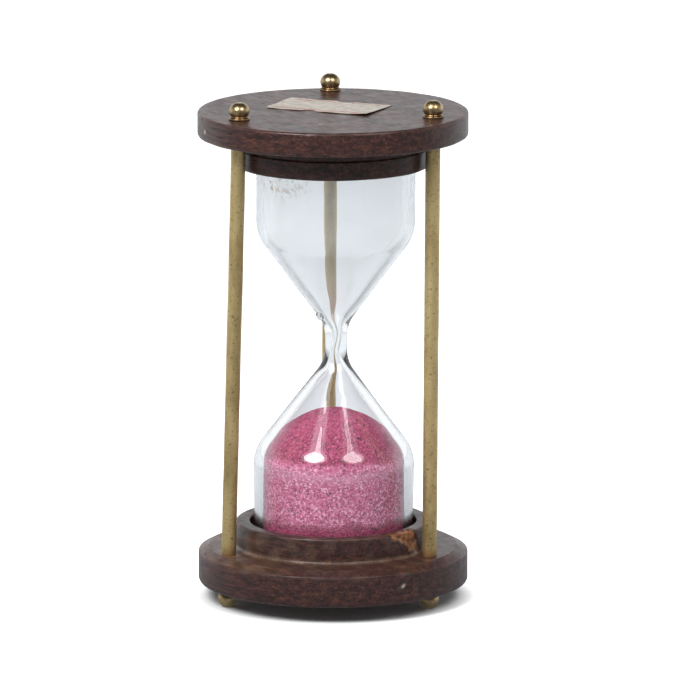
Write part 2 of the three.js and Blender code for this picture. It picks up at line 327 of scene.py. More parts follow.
def rosewood(name, streak_seed):
    """Solid wood: every pattern is stretched along one direction, as fibres are."""
    wood = Finish(name, Specular_IOR_Level=0.42)
    shift = wood.add(
        "ShaderNodeMapping",
        {"Vector": wood.place, "Location": (streak_seed * 0.37, streak_seed * 0.11, 0.0)},
    ).outputs[0]
    along = wood.mapped((0, 0, GRAIN_TURN), (0.035, 1, 2.2), shift)
    figure = wood.noise(430, 5, 0.6, along, 0.4)
    ground = wood.ramp(
        figure,
        (0.32, (0.0200, 0.0072, 0.0068)),
        (0.45, (0.0420, 0.0150, 0.0125)),
        (0.57, (0.0700, 0.0255, 0.0190)),
        (0.70, (0.1050, 0.0400, 0.0260)),
    )
    fibres = wood.noise(1500, 3, 0.65, wood.mapped((0, 0, GRAIN_TURN), (0.025, 1, 1.8), shift))
    fibre_shade = wood.ramp(fibres, (0.34, 0.30), (0.66, 1.40))
    streaked = wood.blend(1.0, ground, fibre_shade, "MULTIPLY")
    pores = wood.noise(2300, 1, 0.5, wood.mapped((0, 0, GRAIN_TURN), (0.06, 1, 1), shift))
    pore_mask = wood.ramp(pores, (0.63, 0.0), (0.75, 0.8))
    pored = wood.blend(pore_mask, streaked, (0.006, 0.003, 0.003))
    flecks = wood.noise(1100, 2, 0.6, wood.mapped((0, 0, GRAIN_TURN), (0.15, 1, 1), shift))
    fleck_mask = wood.ramp(flecks, (0.60, 0.0), (0.72, 0.75))
    flecked = wood.blend(fleck_mask, pored, (0.120, 0.040, 0.020))
    return wood, flecked, fibres, pore_mask


def weathered(wood, colour, fibres, pore_mask):
    """Adds what the mesh marks: dust in corners, worn edges that also carry a painted highlight,
    torn grain and stray specks.
    """
    grit = wood.noise(1900, 2, 0.6)
    dust_share = wood.sum("MULTIPLY", wood.own("dust"), wood.ramp(grit, (0.30, 0.25), (0.66, 1.0)))
    dusty = wood.blend(dust_share, colour, (0.300, 0.205, 0.140))
    torn_grain = wood.noise(900, 3, 0.7, wood.mapped((0, 0, 20), (0.12, 1, 1)))
    torn_colour = wood.ramp(
        torn_grain, (0.35, (0.110, 0.038, 0.016)), (0.65, (0.400, 0.170, 0.070))
    )
    torn = wood.blend(wood.own("torn"), dusty, torn_colour)
    # Lighter edges: partly wear, partly a painted highlight along the rims.
    worn = wood.blend(wood.own("worn"), torn, (0.115, 0.066, 0.055))
    specked = wood.blend(wood.own("specks"), worn, (0.62, 0.55, 0.44))
    wood.feed("Base Color", specked)
    haze = wood.noise(240, 3, 0.6)
    gloss = wood.ramp(haze, (0.30, 0.30), (0.70, 0.42))
    wood.feed("Roughness", wood.blend(pore_mask, gloss, (0.75, 0.75, 0.75)))
    fine = wood.relief(fibres, 0.030)
    pitted = wood.relief(wood.sum("SUBTRACT", 1.0, pore_mask), 0.060, 0.8, fine)
    wood.feed("Normal", pitted)
    return wood.material


base_wood = weathered(*rosewood("rosewood_base", 1))
top_wood = weathered(*rosewood("rosewood_top", 2))
print("wood finishes:", base_wood.name, top_wood.name)

# %% [markdown]
# ## End plates
#
# Each plate is one disc turned with a raised collar and a recess that holds the vial's end. The
# base has a wide bevel with faint turning rings inside it; the top plate has a line scribed
# round its collar. Handling has left nicks on the rims, dust in the corners, and torn grain where
# a rod's hole was bored beside the collar. The rods fill their own holes, so the holes are left
# out of the finished plates: they are in the CAD solids only.

# %% Sizes of the plates
base_low, base_high = (np.array(c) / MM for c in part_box("base_plate"))
top_low, top_high = (np.array(c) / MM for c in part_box("top_plate"))
PLATE_RADIUS = base_high[0]
COLLAR_RADIUS = 27.1
RECESS_RADIUS = 23.2
RECESS_DEPTH = 8.5
BASE_DISC = 10.1
TOP_DISC = 6.85
BASE_HEIGHT = base_high[2] - base_low[2]
TOP_HEIGHT = top_high[2] - top_low[2]
ROUND = 288
print("plates", round(PLATE_RADIUS * 2, 1), "mm across")
print("plate heights", round(BASE_HEIGHT, 2), "and", round(TOP_HEIGHT, 2), "mm")


# %% Marks that a plate carries
def marks(piece, **values):
    """Stores one value per point for each named mark, for the finish to read."""
    for name, value in values.items():
        layer = piece.data.attributes.new(name, "FLOAT", "POINT")
        layer.data.foreach_set("value", np.clip(value, 0, 1).astype(np.float32))


def points_of(piece):
    """A piece's points in millimetres."""
    found = np.empty(len(piece.data.vertices) * 3, np.float32)
    piece.data.vertices.foreach_get("co", found)
    return found.reshape(-1, 3).astype(float) / MM


def spot(points, centre, size):
    """1 at a centre and falling off round it as a bell curve of that size."""
    return np.exp(-(np.linalg.norm(points - np.array(centre), axis=-1) / size) ** 2)


def on_rim(angle, height, radius=PLATE_RADIUS):
    """A point on a plate's wall at an angle in degrees from +X and a height."""
    a = math.radians(angle)
    return (radius * math.cos(a), radius * math.sin(a), height)


def torn_patch(points):
    """Where the fibres tore out of the base's collar: how torn, how near its foot and its side.

    The patch lies under the collar's rim. Its lower edge falls from left to right and its right
    edge falls steeply to meet it, and both are ragged.
    """
    a = np.degrees(np.arctan2(points[..., 1], points[..., 0]))
    z = points[..., 2]
    ragged = 0.45 * ripple(points * [1, 1, 0.5], 2.2, 6) + 0.25 * ripple(points, 0.9, 7)
    above_foot = z - (21.25 - 0.27 * (a + 54.3)) + ragged
    left_of_side = (1.07 * (21.4 - z) - 33.5 - a) * 0.47 + 0.6 * ragged
    depth = np.minimum(above_foot, left_of_side)
    out = np.linalg.norm(points[..., :2], axis=-1)
    on_wall = (out > RECESS_RADIUS + 1.5) & (out < COLLAR_RADIUS + 0.8) & (a > -60) & (a < -20)
    patch = np.clip(depth / 0.35, 0, 1) * on_wall
    foot = np.exp(-(((above_foot - 0.2) / 0.38) ** 2)) * patch
    side = np.exp(-(((left_of_side - 0.2) / 0.42) ** 2)) * patch
    return patch, foot, side


# %% Base plate
base_corners = [
    (0, 0, 0, 3.0),
    (PLATE_RADIUS, 0, 1.1, 0.8),
    (PLATE_RADIUS, BASE_DISC - 1.5, 0.30, 0.5),
    (PLATE_RADIUS - 3.0, BASE_DISC, 0.8, 0.22),
    (COLLAR_RADIUS, BASE_DISC, 0.9, 0.5),
    (COLLAR_RADIUS, BASE_HEIGHT, 0.55, 0.4),
    (RECESS_RADIUS, BASE_HEIGHT, 0.45, 0.8),
    (RECESS_RADIUS, BASE_HEIGHT - RECESS_DEPTH, 0.4, 3.0),
    (0, BASE_HEIGHT - RECESS_DEPTH, 0, 3.0),
]
base_profile = rounded(base_corners) + [0, base_low[2]]
base_grid = turned_grid(base_profile, ROUND)
base_radius = np.linalg.norm(base_grid[..., :2], axis=2)
BASE_INNER = base_low[2] + BASE_DISC
on_disc = (base_radius > COLLAR_RADIUS + 0.8) & (base_grid[..., 2] > BASE_INNER - 1.6)
rings = 0.035 * np.sin(base_radius * 2 * math.pi / 0.95) * on_disc
tear = torn_patch(base_grid)[0]
tear_relief = tear * (0.40 + 0.30 * ripple(base_grid * [1, 1, 0.35], 1.1, 5))
inside_wall = base_radius > RECESS_RADIUS + 1
base_push = 0.03 * ripple(base_grid, 9, 3) + rings - tear_relief * inside_wall
base_plate = skin("base_plate_turned", pushed_out(base_grid, np.minimum(base_push, 0.0)))

# %% Marks on the base plate
at = points_of(base_plate)
radius_at = np.linalg.norm(at[:, :2], axis=1)
corner_gap = np.hypot(radius_at - COLLAR_RADIUS, at[:, 2] - BASE_INNER)
dust = np.exp(-((corner_gap / 0.85) ** 2)) * (0.38 + 0.2 * ripple(at, 6, 8))
outside_collar = radius_at > COLLAR_RADIUS - 0.1
on_face = outside_collar * (at[:, 2] > BASE_INNER - 0.5)
dust += 0.16 * on_face * np.clip(ripple(at, 5, 9), 0, 1)
on_left = np.clip((-at[:, 0] - 8) / 22, 0, 1) * (at[:, 2] > BASE_INNER - 1.4) * outside_collar
dust += 0.34 * on_left * (0.7 + 0.4 * ripple(at, 6, 12))
torn, torn_foot, torn_side = torn_patch(at)
# Lighter bands on the bevel's edge and the collar's rim: partly wear, partly a painted highlight.
edge_gap = np.hypot(radius_at - PLATE_RADIUS, at[:, 2] - (BASE_INNER - 1.5))
worn = 0.5 * np.exp(-((edge_gap / 0.5) ** 2)) * (0.6 + 0.6 * ripple(at, 5, 10))
rim_gap = np.hypot(radius_at - COLLAR_RADIUS, at[:, 2] - base_high[2])
worn += 0.55 * np.exp(-((rim_gap / 0.55) ** 2)) * (0.6 + 0.5 * ripple(at, 4, 11))
specks = spot(at, on_rim(-59.0, BASE_INNER - 4.9), 0.42)
specks += 0.30 * torn_foot * (at[:, 0] > 17.5) + 0.45 * torn_side * (at[:, 2] < 19.0)
marks(base_plate, dust=dust, torn=torn, worn=worn, specks=specks)
finish_with(base_plate, "frame", "wood", base_wood, "base_plate")

# %% Top plate
GROOVE_FROM_DISC = 2.9
top_corners = [
    (0, 0, 0, 1.2),
    (PLATE_RADIUS, 0, 0.75, 0.5),
    (PLATE_RADIUS, TOP_DISC, 0.8, 0.7),
    (COLLAR_RADIUS, TOP_DISC, 0.5, 0.5),
    (COLLAR_RADIUS, TOP_DISC + GROOVE_FROM_DISC - 0.3, 0.1),
    (COLLAR_RADIUS - 0.55, TOP_DISC + GROOVE_FROM_DISC, 0.1),
    (COLLAR_RADIUS, TOP_DISC + GROOVE_FROM_DISC + 0.3, 0.1, 0.5),
    (COLLAR_RADIUS, TOP_HEIGHT, 0.55, 0.6),
    (RECESS_RADIUS, TOP_HEIGHT, 0.4, 1.0),
    (RECESS_RADIUS, TOP_HEIGHT - RECESS_DEPTH, 0.4, 3.0),
    (0, TOP_HEIGHT - RECESS_DEPTH, 0, 3.0),
]
top_profile = (rounded(top_corners) * [1, -1] + [0, top_high[2]])[::-1]
top_grid = turned_grid(top_profile, ROUND)
TOP_INNER = top_high[2] - TOP_DISC
nicks = sum(
    depth * spot(top_grid, on_rim(angle, TOP_INNER + up), size)
    for angle, up, size, depth in (
        (-106.5, 0.35, 0.5, 0.45),
        (-103.5, 0.5, 0.4, 0.35),
        (-62, 0.3, 0.4, 0.25),
        (-101, TOP_DISC - 0.3, 0.6, 0.3),
    )
)
top_push = 0.03 * ripple(top_grid, 10, 13) - 0.03 - nicks
top_plate = skin("top_plate_turned", pushed_out(top_grid, np.minimum(top_push, 0.0)))

# %% Marks on the top plate
at = points_of(top_plate)
radius_at = np.linalg.norm(at[:, :2], axis=1)
# Lighter bands on the top and under edges: partly wear, partly a painted highlight.
edge_gap = np.hypot(radius_at - PLATE_RADIUS, at[:, 2] - top_high[2])
worn = 0.45 * np.exp(-((edge_gap / 0.6) ** 2)) * (0.5 + 0.6 * ripple(at, 5, 14))
under_edge = np.hypot(radius_at - PLATE_RADIUS, at[:, 2] - TOP_INNER)
worn += 0.35 * np.exp(-((under_edge / 0.5) ** 2)) * (0.5 + 0.6 * ripple(at, 5, 15))
specks = (
    spot(at, on_rim(-160, TOP_INNER + 3.0), 0.45)
    + spot(at, (-3.4, -22.0, top_high[2]), 0.35)
    + 0.7 * spot(at, on_rim(-106.5, TOP_INNER + 0.35), 0.3)
)
marks(top_plate, dust=0 * worn, torn=0 * worn, worn=worn, specks=specks)
finish_with(top_plate, "frame", "wood", top_wood, "top_plate")

# %% [markdown]
# ## Rods
#
# Three rods of drawn brass, never lacquered, have gone dull and straw-coloured, with small dark
# spots and darker streaks down their length. Each leans a little, because its two holes were
# drilled by hand. A rod is a circle carried along the line between its holes.

# %% Aged brass finish
aged = Finish("aged_brass", Metallic=0.9)
tarnish = aged.noise(130, 4, 0.6, aged.mapped(scale=(1, 1, 0.35)))
straw = aged.ramp(
    tarnish,
    (0.30, (0.340, 0.250, 0.112)),
    (0.50, (0.560, 0.430, 0.205)),
    (0.70, (0.720, 0.570, 0.290)),
)
freckles = aged.ramp(aged.noise(1500, 2, 0.6), (0.60, 0.0), (0.72, 0.8))
spotted = aged.blend(freckles, straw, (0.085, 0.055, 0.028))
# Painted shade: the brass darkens to copper-brown just above the base plate, where the rod meets
# it.
entry = aged.add("ShaderNodeSeparateXYZ", {"Vector": aged.place}).outputs["Z"]
near_base = aged.ramp(
    aged.add(
        "ShaderNodeMapRange", {"Value": entry, "From Min": 0.0145, "From Max": 0.0175}
    ).outputs[0],
    (0.0, 0.9),
    (1.0, 0.0),
)
aged.feed("Base Color", aged.blend(near_base, spotted, (0.30, 0.135, 0.055)))
aged.feed("Roughness", aged.ramp(tarnish, (0.30, 0.62), (0.70, 0.50)))
aged.feed("Normal", aged.relief(aged.noise(900, 3, 0.6), 0.02))

# %% Rods
ROD_RADIUS = 2.05
THREAD_RADIUS = 1.25
ROD_HOLES = {
    "front_left": ((32.3, 205.3), (29.8, 210.3)),
    "front_right": ((30.9, 329.7), (29.9, 337.4)),
    "back": ((33.0, 92.3), (33.1, 91.4)),
}


def in_plate(out, angle, height):
    """A hole's place: a distance from the axis, an angle from +X, and a height."""
    a = math.radians(angle)
    return np.array([out * math.cos(a), out * math.sin(a), height])


def along_line(profile, foot, head, columns):
    """A profile turned about the line from foot to head, with heights measured up from foot.

    Each grid point moves to foot + x side + y depth + z direction, with side and depth at right
    angles to the line.
    """
    direction = (head - foot) / np.linalg.norm(head - foot)
    side = np.cross([0, 1, 0], direction)
    side /= np.linalg.norm(side)
    depth = np.cross(direction, side)
    return foot + turned_grid(profile, columns) @ np.stack([side, depth, direction])


for rod_name, (low_hole, high_hole) in ROD_HOLES.items():
    foot = in_plate(*low_hole, base_low[2])
    head = in_plate(*high_hole, top_high[2])
    length = np.linalg.norm(head - foot)
    shoulder_low = BASE_DISC - 0.9
    shoulder_high = length - TOP_DISC + 0.9
    rod_corners = [
        (0, -2.5, 0),
        (THREAD_RADIUS, -2.5, 0.3, 3.0),
        (THREAD_RADIUS, shoulder_low, 0),
        (ROD_RADIUS, shoulder_low, 0.2, 0.9),
        (ROD_RADIUS, shoulder_high, 0.2),
        (THREAD_RADIUS, shoulder_high, 0, 3.0),
        (THREAD_RADIUS, length + 2.5, 0.3),
        (0, length + 2.5, 0),
    ]
    grid = along_line(rounded(rod_corners), foot, head, 40)
    grid = pushed_out(grid, 0.025 * ripple(grid * [1, 1, 0.5], 7, 21) - 0.02)
    finish_with(
        skin(f"rod_{rod_name}_drawn", grid), "frame", "aged_brass", aged.material, f"rod_{rod_name}"
    )

# %% [markdown]
# ## Ball nuts and washers
#
# Each rod ends in a turned and polished ball nut: a ball a little flattened at its pole, on a
# short neck that flares out to its seat on a thin washer. The same nuts stand upside down under
# the base as feet. Their brass is brighter than the rods', with brown tarnish left in the neck
# where no cloth reaches, and painted shade darkens the neck further where it meets the washer.
# The washers are painted dark as shade, with a light rim as a painted highlight.

# %% Polished brass finish
polished = Finish("polished_brass", Metallic=1.0)
smears = polished.noise(420, 4, 0.65)
bright = polished.ramp(smears, (0.30, (0.33, 0.235, 0.120)), (0.62, (0.50, 0.380, 0.205)))
pits = polished.ramp(polished.noise(2600, 1, 0.5), (0.66, 0.0), (0.74, 0.8))
pitted = polished.blend(pits, bright, (0.07, 0.04, 0.02))
# This mark darkens the nut's neck, partly tarnish and partly painted shade, and the washer as
# painted shade.
polished.feed("Base Color", polished.blend(polished.own("tarnish"), pitted, (0.155, 0.070, 0.026)))
polished.feed("Roughness", polished.ramp(smears, (0.30, 0.38), (0.70, 0.26)))
polished.feed("Normal", polished.relief(polished.noise(700, 2, 0.5), 0.010))

# %% Ball nuts, as finials and as feet
NUT_HEIGHT = 4.085
BALL_RADIUS = 2.8
BALL_HALF_HEIGHT = 2.5
BALL_CENTRE = 1.75
SEAT_RADIUS = 2.55
SEAT_GAP = 0.04
NECK_RADIUS = 2.15


def ball_nut_profile():
    """From the bore's end out over the seat, round the neck and over the ball to its flat.

    The ball is the ellipse r = 2.8 cos t, z = 1.75 + 2.5 sin t, from the neck to a flat of 1 mm
    radius at the pole. The neck is a short curve that flares from it to the seat, which stays a
    hair above the washer.
    """
    t = np.linspace(-math.acos(NECK_RADIUS / BALL_RADIUS) + 0.16, math.acos(1 / BALL_RADIUS), 34)
    ball = np.stack([BALL_RADIUS * np.cos(t), BALL_CENTRE + BALL_HALF_HEIGHT * np.sin(t)], axis=1)
    s = np.linspace(0, 1, 8)[:-1]
    waist = ball[0]
    flare_start = SEAT_GAP + 0.03
    flare = np.stack(
        [
            SEAT_RADIUS + (waist[0] - 0.12 - SEAT_RADIUS) * np.sin(s * math.pi / 2),
            flare_start + (waist[1] - flare_start) * s**1.2,
        ],
        axis=1,
    )
    under = rounded(
        [(0, 2.5, 0), (1.5, 2.5, 0.05), (1.5, SEAT_GAP, 0.1), (SEAT_RADIUS, SEAT_GAP, 0)]
    )
    crown = np.array([[0.5, NUT_HEIGHT], [0, NUT_HEIGHT]])
    return np.vstack([under, flare, ball, crown])


def washer_profile():
    corners = [
        (1.65, 0, 0.1),
        (2.95, 0, 0.18),
        (2.95, 0.6, 0.22),
        (1.65, 0.6, 0.1),
    ]
    return rounded(corners, 0.3, closed=True)


def set_on(profile, centre, height, upside_down, columns):
    """A profile turned about a vertical line through centre, starting at a height."""
    grid = turned_grid(profile, columns)
    if upside_down:
        grid = grid * [1, -1, -1]
    return grid + [centre[0], centre[1], height]


def nut_and_washer(place_name, kind, upside_down):
    """One ball nut and its washer, placed by the boxes of their CAD nodes."""
    nut_node = f"{kind}_{place_name}"
    washer_node = f"{kind}_washer_{place_name}"
    low, high = (np.array(c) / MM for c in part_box(nut_node))
    washer_low, washer_high = (np.array(c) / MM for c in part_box(washer_node))
    centre = (low + high) / 2
    seat = high[2] if upside_down else low[2]
    nut = skin(f"{nut_node}_ball", set_on(ball_nut_profile(), centre, seat, upside_down, 72))
    at = points_of(nut)
    # Darker in the neck by the seat: partly tarnish, partly painted shade where the nut meets its
    # washer.
    from_seat = np.abs(at[:, 2] - seat)
    tarnish = np.exp(-((from_seat / 0.55) ** 2)) * 0.9
    marks(nut, tarnish=tarnish)
    body = nut_node if kind == "finial" else "frame"
    finish_with(nut, body, "polished_brass", polished.material, nut_node)
    flat = washer_high[2] if upside_down else washer_low[2]
    grid = set_on(washer_profile(), centre, flat, upside_down, 72)
    washer = skin(f"{washer_node}_disc", grid, looped=True)
    at = points_of(washer)
    from_axis = np.linalg.norm(at[:, :2] - centre[:2], axis=1)
    # The washer is painted dark all over as shade, and its rim is left light as a painted
    # highlight.
    marks(washer, tarnish=0.95 - 0.7 * np.exp(-(((from_axis - 2.95) / 0.12) ** 2)))
    body = washer_node if kind == "finial" else "frame"
    finish_with(washer, body, "polished_brass", polished.material, washer_node)


for place_name in ROD_HOLES:
    nut_and_washer(place_name, "finial", False)
    nut_and_washer(place_name, "foot", True)

# %% [markdown]
# ## Glass vial
#
# The vial is blown from one tube: two bulbs and a neck drawn down between them. Its wall is
# real here, an outer surface and an inner one, because the look of the glass comes from light
# bending through the wall: the pale band beside the sand, the dark lines at the neck and the
# bent view of the back rod. The drawing-down leaves faint waves, strongest at the neck.

# %% Clear glass finish
GLASS_DUST = 0.07


def clear_glass(name, clean, hazed):
    """Glass for what is seen, and plain clear film for lamp rays, so that the sand is lit.

    The clean tint belongs to bare glass, and the hazed one to where dust lies on the wall.
    """
    glass = Finish(name, Roughness=0.015, IOR=1.47)
    dusty = glass.own("haze")
    blocked = glass.sum("MULTIPLY", dusty, GLASS_DUST)
    glass.feed("Transmission Weight", glass.sum("SUBTRACT", 1.0, blocked))
    stain = glass.ramp(glass.noise(700, 4, 0.7), (0.50, 0.0), (0.62, 1.0))
    stained = glass.sum("MULTIPLY", stain, glass.own("stain"))
    tint = glass.blend(dusty, clean, hazed)
    glass.feed("Base Color", glass.blend(stained, tint, (0.42, 0.25, 0.14)))
    lamp_ray = glass.add("ShaderNodeLightPath").outputs["Is Shadow Ray"]
    film = glass.add("ShaderNodeBsdfTransparent", {"Color": (0.93, 0.95, 0.96, 1)})
    either = glass.add(
        "ShaderNodeMixShader", {0: lamp_ray, 1: glass.shader.outputs[0], 2: film.outputs[0]}
    )
    output = glass.tree.nodes["Material Output"]
    glass.tree.links.new(either.outputs[0], output.inputs["Surface"])
    return glass.material


vial_glass = clear_glass("vial_glass", (0.950, 0.955, 0.962), (0.968, 0.976, 0.980))

# %% Shape of one bulb
VIAL_RADIUS = 22.1
GLASS_WALL = 2.2
CONE_ANGLE = math.radians(36.5)
SHOULDER_ROUNDING = 12.0
NECK_RADIUS_OUTSIDE = 3.1
NECK_BORE = 0.9
NECK_ROUNDING = 10.0
CONE_CORNER = 30.6
END_ROUNDING = 3.0
VIAL_OFF_CENTRE = 0.5
VIAL_LEAN = math.radians(0.42)
FELT = 0.8
END_PLAY = 0.45
vial_low = base_high[2] - RECESS_DEPTH + FELT + END_PLAY
vial_high = top_low[2] + RECESS_DEPTH - FELT - END_PLAY
HALF_VIAL = (vial_high - vial_low) / 2
NECK_HEIGHT = (vial_high + vial_low) / 2


def arc(centre_radius, centre_height, radius, start, end, steps):
    """Points of a circular arc in the (radius, height) plane, between two angles in radians."""
    a = np.linspace(start, end, steps + 1)
    return np.stack(
        [centre_radius + radius * np.cos(a), centre_height + radius * np.sin(a)], axis=1
    )


def bulb(wall):
    """Half the vial, from the middle of the neck up, with every line moved inwards by the wall.

    Neck arc, cone, shoulder arc, cylinder, rounded end and flat end, each tangent to the next.
    """
    cylinder = VIAL_RADIUS - wall
    neck = NECK_BORE if wall else NECK_RADIUS_OUTSIDE
    slope = math.tan(CONE_ANGLE)
    corner = CONE_CORNER + (wall / math.cos(CONE_ANGLE) - wall) / slope
    tangent = math.tan(CONE_ANGLE / 2)
    shoulder = SHOULDER_ROUNDING - wall
    neck_arc = NECK_ROUNDING + wall
    neck_height = corner - (cylinder - neck) / slope - neck_arc * tangent
    end_arc = END_ROUNDING - wall / 2
    end = HALF_VIAL - wall
    return np.vstack(
        [
            arc(neck + neck_arc, neck_height, neck_arc, math.pi, math.pi - CONE_ANGLE, 22),
            arc(cylinder - shoulder, corner + shoulder * tangent, shoulder, -CONE_ANGLE, 0, 18),
            arc(cylinder - end_arc, end - end_arc, end_arc, 0, math.pi / 2, 8),
            [[0, end]],
        ]
    )


def resampled(path, spacing):
    """The path's own points, with more put in wherever two lie further apart than the spacing."""
    gaps = np.linalg.norm(np.diff(path, axis=0), axis=1)
    reach = np.concatenate([[0], np.cumsum(gaps)])
    steps = [max(1, round(gap / spacing)) for gap in np.diff(reach)]
    runs = [np.linspace(a, b, n + 1)[:-1] for a, b, n in zip(reach, reach[1:], steps)]
    every = np.concatenate(runs + [reach[-1:]])
    every = every[np.concatenate([[True], np.diff(every) > 1e-4])]
    return np.stack([np.interp(every, reach, path[:, i]) for i in (0, 1)], axis=1)


def in_vial(grid):
    """Leans a grid made about the neck by the vial's lean, and puts it in place."""
    c, s = math.cos(VIAL_LEAN), math.sin(VIAL_LEAN)
    lean = np.array([[c, 0, -s], [0, 1, 0], [s, 0, c]])
    return grid @ lean + [VIAL_OFF_CENTRE, 0, NECK_HEIGHT]


# %% Outer and inner walls of the vial
NECK_SHIFT = 0.40


def near_neck(grid, reach):
    """1 at the middle of the neck, falling off along the axis as a bell curve of that reach."""
    return np.exp(-((grid[..., 2] / reach) ** 2))


def fuller(grid):
    """How far the lower bulb was blown out past the upper one, most of all at its shoulder."""
    return 0.30 * np.exp(-(((grid[..., 2] + 35.0) / 10.0) ** 2))


def haze_at(at):
    """Dust on the glass: faint in the lower bulb, and full from just above the neck."""
    return 0.15 + 0.85 * np.clip((at[:, 2] - NECK_HEIGHT) / 6.0, 0, 1)


def whole_wall(wall, spacing):
    half = bulb(wall)
    lower = half[::-1] * [1, -1]
    return resampled(np.vstack([lower, half]), spacing)


outer = turned_grid(whole_wall(0.0, 1.2), 144)
inner = turned_grid(whole_wall(GLASS_WALL, 1.2)[::-1], 144)
outer_push = ripple(outer, 9, 41) * (0.002 + 0.035 * near_neck(outer, 10.0)) + fuller(outer)
outer = pushed_out(outer, outer_push - 0.02)
inner_push = ripple(inner, 7, 42) * (0.002 + 0.055 * near_neck(inner, 10.0))
inner = pushed_out(inner, inner_push - 0.5 * fuller(inner))
outer[..., 0] += NECK_SHIFT * near_neck(outer, 11.0)
bore_wander = 0.22 * np.sin(inner[..., 2] * 0.55)
inner[..., 0] += (NECK_SHIFT + bore_wander) * near_neck(inner, 11.0)
vial_outer = skin("vial_outer_wall", in_vial(outer))
vial_inner = skin("vial_inner_wall", in_vial(inner))
at = points_of(vial_outer)
stain_place = (at - [-16.0, -15.0, 119.5]) / [7.5, 12.0, 3.2]
stain = np.exp(-np.linalg.norm(stain_place, axis=1) ** 2) * 1.4
marks(vial_outer, stain=stain, haze=haze_at(at))
at = points_of(vial_inner)
marks(vial_inner, stain=0 * at[:, 2], haze=haze_at(at))

# %% Both walls as one piece
bpy.ops.object.select_all(action="DESELECT")
for wall_piece in (vial_outer, vial_inner):
    wall_piece.select_set(True)
bpy.context.view_layer.objects.active = vial_outer
bpy.ops.object.join()
vial_outer.name = "glass_vial_blown"
finish_with(vial_outer, "vial", "vial_glass", vial_glass, "glass_vial")

# %% [markdown]
# The vial was filled through a small hole just above the neck, which was then closed with a drop
# of melted glass. The drop has sagged into a small uneven pip. It covers the hole, so the hole
# is left out of the finished glass: it is in the CAD solid only.

# %% Drop of glass that closes the filling hole
FILL_HEIGHT = 8.4
FILL_ANGLE = math.radians(226)
cone_radius = VIAL_RADIUS - (CONE_CORNER - FILL_HEIGHT) * math.tan(CONE_ANGLE)
outward = np.array(
    [
        math.cos(FILL_ANGLE) * math.cos(CONE_ANGLE),
        math.sin(FILL_ANGLE) * math.cos(CONE_ANGLE),
        -math.sin(CONE_ANGLE),
    ]
)
mouth = np.array(
    [cone_radius * math.cos(FILL_ANGLE), cone_radius * math.sin(FILL_ANGLE), FILL_HEIGHT]
)
t = np.linspace(0, 1, 26)
drop_profile = np.stack(
    [
        1.5 * np.sin(math.pi * t) ** 0.7 * (1 - 0.22 * t),
        -0.55 + 1.75 * t - 0.15 * np.sin(2 * math.pi * t),
    ],
    axis=1,
)
drop_profile[[0, -1], 0] = 0
drop_grid = along_line(drop_profile, mouth, mouth + outward, 40)
drop_grid = pushed_out(drop_grid, 0.13 * ripple(drop_grid, 1.5, 51))
drop = skin("seal_drop_melted", in_vial(drop_grid))
at = points_of(drop)
marks(drop, stain=0 * at[:, 2], haze=haze_at(at))
finish_with(drop, "vial", "vial_glass", vial_glass, "seal_drop")

# %% [markdown]
# ## Sand
#
# Dyed sand fills the lower bulb up to its shoulder and ends in the low heap that the last grains
# left. It lies a hair's breadth inside the glass. The heap is a turned surface, roughened by the
# grains themselves, each about 0.4 mm across, and every grain has its own shade. The heap and
# the foot of the sand are darkened to a deeper crimson as painted shade, and a pale ring lies
# under the shoulder.

# %% Sand finish
GRAIN = 1 / 0.00042
sand = Finish("pink_sand", Roughness=0.85)
grain_shade = sand.cells(GRAIN, output="Color")
one_number = sand.add("ShaderNodeSeparateColor", {"Color": grain_shade}).outputs[0]
grains = sand.ramp(
    one_number,
    (0.00, (0.045, 0.014, 0.026)),
    (0.08, (0.220, 0.025, 0.065)),
    (0.30, (0.390, 0.058, 0.145)),
    (0.60, (0.500, 0.110, 0.225)),
    (0.86, (0.600, 0.210, 0.335)),
    (0.985, (0.700, 0.400, 0.500)),
)
# Painted shade: the heap and the foot of the sand are multiplied darker.
deepened = sand.blend(sand.own("deep"), grains, (0.56, 0.20, 0.36), "MULTIPLY")
sand.feed("Base Color", sand.blend(sand.own("pale"), deepened, (0.62, 0.36, 0.46)))
sand.feed("Normal", sand.relief(sand.cells(GRAIN), 0.10, 0.8))

# %% Heap of sand
SAND_GAP = 0.3
APEX_ABOVE_END = 39.0
HEAP_ROUNDING = 12.4
HEAP_SLOPE = 0.63
wall_path = resampled(bulb(GLASS_WALL + SAND_GAP)[::-1] * [1, -1], 0.45)
floor_height = wall_path[0, 1]
apex = floor_height + APEX_ABOVE_END - END_ROUNDING


def heap_height(r):
    """A rounded crown, then a straight slope: parabola inside the rounding, line outside it."""
    crown = HEAP_SLOPE / (2 * HEAP_ROUNDING)
    outside = crown * HEAP_ROUNDING**2 + HEAP_SLOPE * (r - HEAP_ROUNDING)
    return apex - np.where(r < HEAP_ROUNDING, crown * r**2, outside)


below_heap = wall_path[:, 1] < heap_height(wall_path[:, 0])
side = wall_path[: np.argmin(below_heap)]
heap_radius = np.linspace(side[-1, 0], 0, 46)[1:]
heap = np.stack([heap_radius, heap_height(heap_radius)], axis=1)
sand_grid = turned_grid(np.vstack([side, heap]), 264)
chance = np.random.default_rng(61)
bumps = chance.normal(size=sand_grid.shape[:2]) * 0.07 - 0.12
bumps[[0, -1]] = bumps[[0, -1]].mean()
bumps += 0.12 * ripple(sand_grid, 7, 62) * (sand_grid[..., 2] > heap_height(20.0))
sand_heap = skin("sand_heap", in_vial(pushed_out(sand_grid, np.minimum(bumps, 0.0))))
at = points_of(sand_heap)
uneven = 0.5 * ripple(at, 9, 63)
shoulder_line = NECK_HEIGHT - CONE_CORNER - 1.5 + uneven
